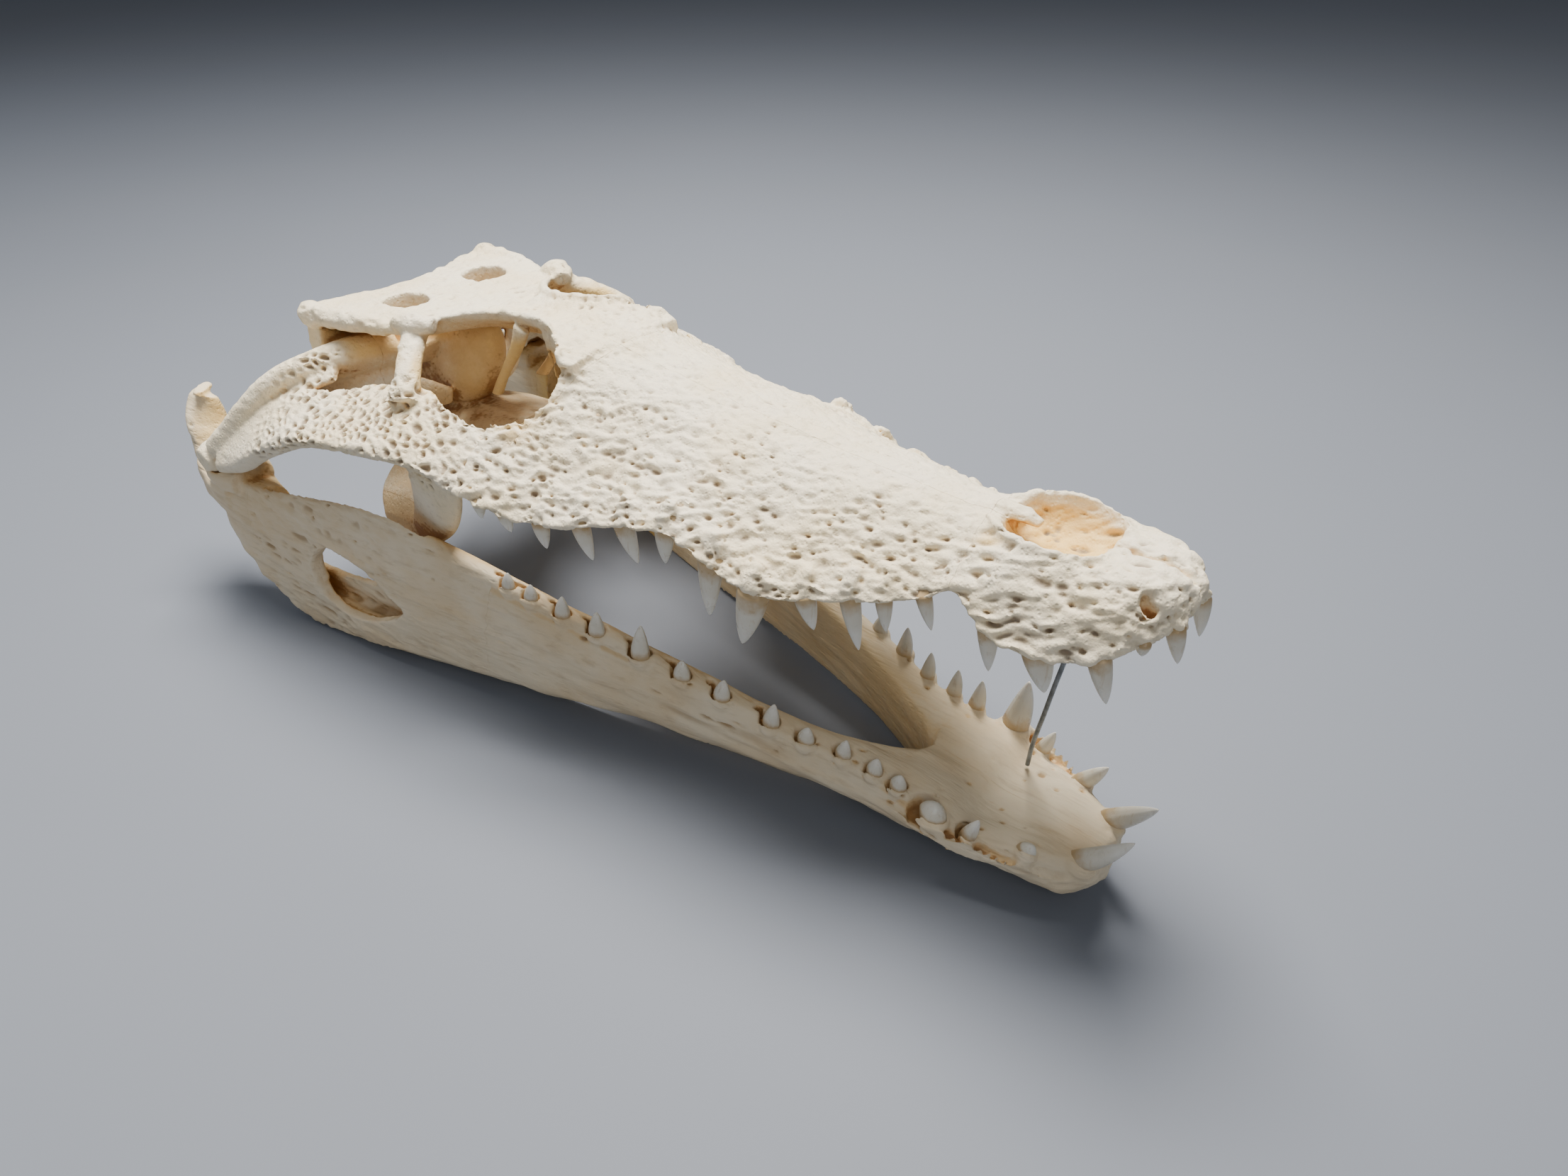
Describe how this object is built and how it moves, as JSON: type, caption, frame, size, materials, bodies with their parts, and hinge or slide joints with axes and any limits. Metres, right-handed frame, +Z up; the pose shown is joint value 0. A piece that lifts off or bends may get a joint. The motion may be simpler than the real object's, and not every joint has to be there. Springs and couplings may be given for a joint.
{
  "type": "crocodile skull",
  "caption": "Bleached skull of a half-grown crocodile resting on its lower jaw, the mouth held a little open by a thin bent steel wire.",
  "frame": {"origin": "middle of the footprint's bounding box, at the level of the flats on which the lower jaw rests", "axes": "+X to the snout tip, +Y to the animal's left, +Z up"},
  "size_m": [0.4806, 0.21, 0.1645],
  "materials": {
    "cranium_bone": "dry bleached bone, cream white and pitted, brown in the deep recesses",
    "jaw_bone": "dry ivory bone with fine lengthwise grooves and small nerve holes",
    "tooth_enamel": "grey white enamel, yellow brown toward the root",
    "prop_steel": "thin drawn grey wire"
  },
  "bodies": {
    "root": {"premaxilla": "cranium_bone", "maxilla_right": "cranium_bone", "maxilla_left": "cranium_bone", "nasals": "cranium_bone", "frontal": "cranium_bone", "skull_table": "cranium_bone", "braincase": "cranium_bone", "palatines": "cranium_bone", "pterygoid": "cranium_bone", "ectopterygoid_right": "cranium_bone", "ectopterygoid_left": "cranium_bone", "jugal_right": "cranium_bone", "jugal_left": "cranium_bone", "quadrate_right": "cranium_bone", "quadrate_left": "cranium_bone", "dentary_right": "jaw_bone", "dentary_left": "jaw_bone", "surangular_right": "jaw_bone", "surangular_left": "jaw_bone", "angular_right": "jaw_bone", "angular_left": "jaw_bone", "articular_right": "jaw_bone", "articular_left": "jaw_bone", "prop_wire": "prop_steel"}
  },
  "joints": []
}
